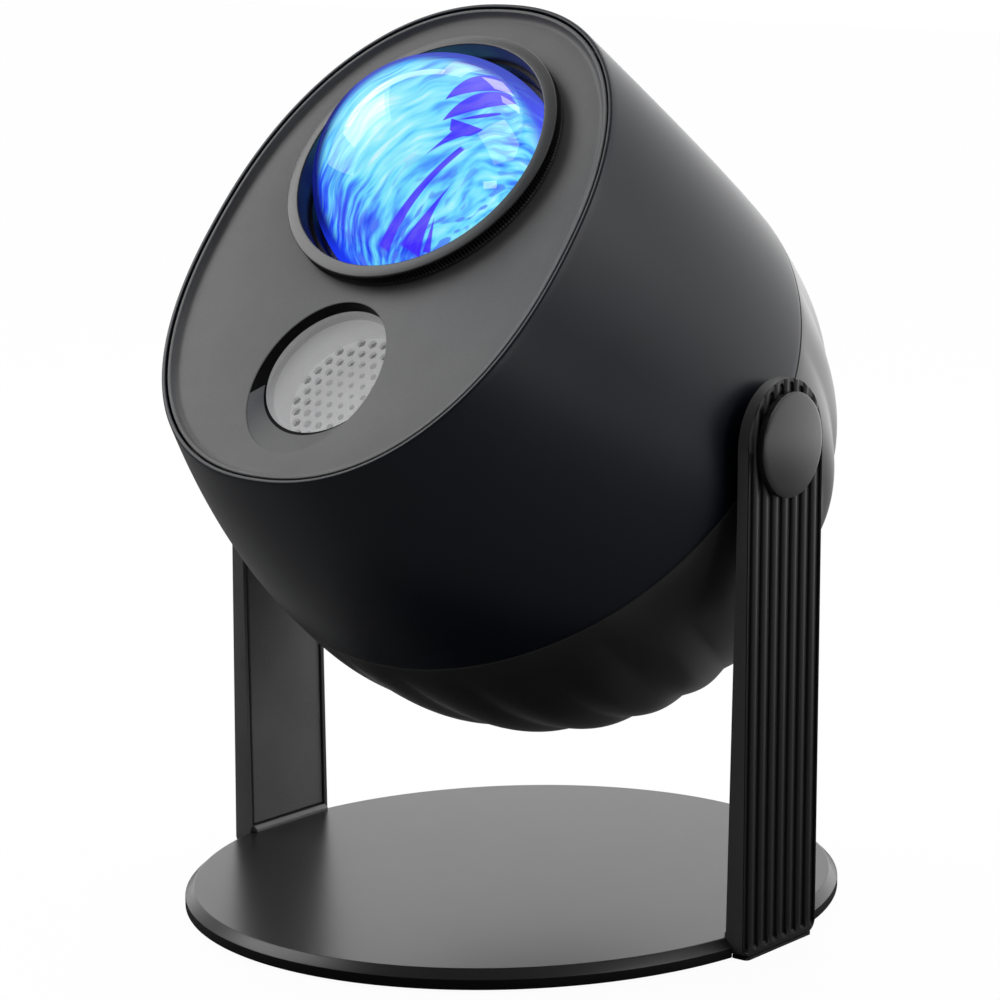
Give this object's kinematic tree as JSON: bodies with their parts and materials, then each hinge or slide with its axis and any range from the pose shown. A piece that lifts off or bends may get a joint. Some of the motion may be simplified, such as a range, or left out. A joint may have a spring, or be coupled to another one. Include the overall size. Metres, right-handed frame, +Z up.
{
  "type": "star and nebula projector",
  "caption": "Ball-shaped ceiling star projector hung on a tilt joint between two ribbed arms on an oval foot, with a domed ripple lens in a focus ring and a star window.",
  "frame": {"origin": "on the table, under the middle of the oval base, in the plane of the tilt axis", "axes": "+Z up, X along the tilt axis, -Y the side that the lens face looks to"},
  "size_m": [0.1518, 0.1683, 0.2025],
  "materials": {
    "stand_grey": "fine satin powder coat",
    "foot_rubber": "matt",
    "arm_charcoal": "fine satin",
    "arm_cover": "fine satin",
    "arm_trim": "satin",
    "pivot_cap": "satin",
    "screw_steel": "zinc plated",
    "washer_rubber": "matt silicone",
    "bush_brass": "turned",
    "front_shell": "smooth satin, navy black",
    "rear_shell": "smooth satin black",
    "face_seal": "matt",
    "face_panel": "fine satin grey",
    "window_pane": "frosted",
    "star_plate": "pierced diffuser",
    "inner_black": "matt",
    "focus_ring": "satin face, black knurled side",
    "dome_glass": "clear with a lit blue swirl",
    "gear_white": "moulded acetal",
    "ripple_glass": "rippled",
    "motor_steel": "drawn can",
    "sink_aluminium": "extruded",
    "board_green": "solder mask",
    "led_emitters": "phosphor",
    "reflector_mirror": "metallised",
    "condenser_glass": "polished",
    "laser_brass": "turned",
    "star_film": "diffraction film",
    "board_parts": "moulded",
    "speaker_paper": "pulp cone",
    "rear_cap": "satin black",
    "inlet_steel": "stamped",
    "buttons": "matt silicone"
  },
  "bodies": {
    "stand": {"base_plate": "stand_grey", "foot_pad": "foot_rubber", "right_arm": "arm_charcoal", "left_arm": "arm_charcoal", "right_arm_cover": "arm_cover", "left_arm_cover": "arm_cover", "right_foot_strip": "arm_trim", "left_foot_strip": "arm_trim", "right_foot_pad": "foot_rubber", "left_foot_pad": "foot_rubber", "arm_screws": "screw_steel", "right_pivot_bolt": "screw_steel", "left_pivot_bolt": "screw_steel", "right_pivot_cap": "pivot_cap", "left_pivot_cap": "pivot_cap", "right_friction_washer": "washer_rubber", "left_friction_washer": "washer_rubber"},
    "head": {"right_pivot_bush": "bush_brass", "left_pivot_bush": "bush_brass", "front_shell": "front_shell", "rear_shell": "rear_shell", "face_seal": "face_seal", "face_panel": "face_panel", "window_pane": "window_pane", "star_plate": "star_plate", "star_plate_retainer": "inner_black", "lens_barrel": "inner_black", "drive_motor": "motor_steel", "disc_carrier": "inner_black", "optics_screws": "screw_steel", "chassis": "inner_black", "chassis_screws": "screw_steel", "heat_sink": "sink_aluminium", "led_board": "board_green", "led_emitters": "led_emitters", "reflector": "reflector_mirror", "condenser_lens": "condenser_glass", "star_housing": "inner_black", "laser_module": "laser_brass", "star_motor": "motor_steel", "main_board": "board_green", "board_parts": "board_parts", "speaker_basket": "motor_steel", "speaker_cone": "speaker_paper", "rear_cap": "rear_cap", "button_board": "board_green", "power_inlet": "inlet_steel"},
    "focus": {"focus_ring": "focus_ring"},
    "lens": {"lens_cell": "inner_black", "dome_lens": "dome_glass"},
    "ripple": {"ripple_gear": "gear_white", "ripple_glass": "ripple_glass"},
    "pinion": {"drive_pinion": "gear_white"},
    "stars": {"star_wheel": "star_film"},
    "power_key": {"power_button": "buttons"},
    "mode_key": {"mode_button": "buttons"},
    "music_key": {"music_button": "buttons"}
  },
  "joints": [
    {"name": "head_tilt", "type": "hinge", "parent": "stand", "child": "head", "pos_m": [0, 0, 0.1115], "axis": [1, 0, 0], "range_deg": [-48, 42]},
    {"name": "focus_turn", "type": "hinge", "parent": "head", "child": "focus", "pos_m": [0, -0.02967, 0.16822], "axis": [0, -0.7431, 0.6691], "range_deg": [-45, 45]},
    {"name": "lens_travel", "type": "slide", "parent": "head", "child": "lens", "axis": [0, -0.7431, 0.6691], "range_m": [-0.001, 0.001]},
    {"name": "ripple_turn", "type": "hinge", "parent": "head", "child": "ripple", "pos_m": [0, -0.01332, 0.1535], "axis": [0, -0.7431, 0.6691], "continuous": true},
    {"name": "pinion_turn", "type": "hinge", "parent": "head", "child": "pinion", "pos_m": [0.02949, -0.02713, 0.13815], "axis": [0, -0.7431, 0.6691], "continuous": true},
    {"name": "star_turn", "type": "hinge", "parent": "head", "child": "stars", "pos_m": [-0.0035, -0.05155, 0.11701], "axis": [0, -0.7431, 0.6691], "continuous": true},
    {"name": "power_button_press", "type": "slide", "parent": "head", "child": "power_key", "axis": [0, -0.7431, 0.6691], "range_m": [0, 0.0007], "stiffness_N_per_m": 900},
    {"name": "mode_button_press", "type": "slide", "parent": "head", "child": "mode_key", "axis": [0, -0.7431, 0.6691], "range_m": [0, 0.0007], "stiffness_N_per_m": 900},
    {"name": "music_button_press", "type": "slide", "parent": "head", "child": "music_key", "axis": [0, -0.7431, 0.6691], "range_m": [0, 0.0007], "stiffness_N_per_m": 900}
  ],
  "couplings": [
    {"joint": "lens_travel", "follows": "focus_turn", "m_per_rad": 0.0012732},
    {"joint": "pinion_turn", "follows": "ripple_turn", "ratio": -4}
  ]
}
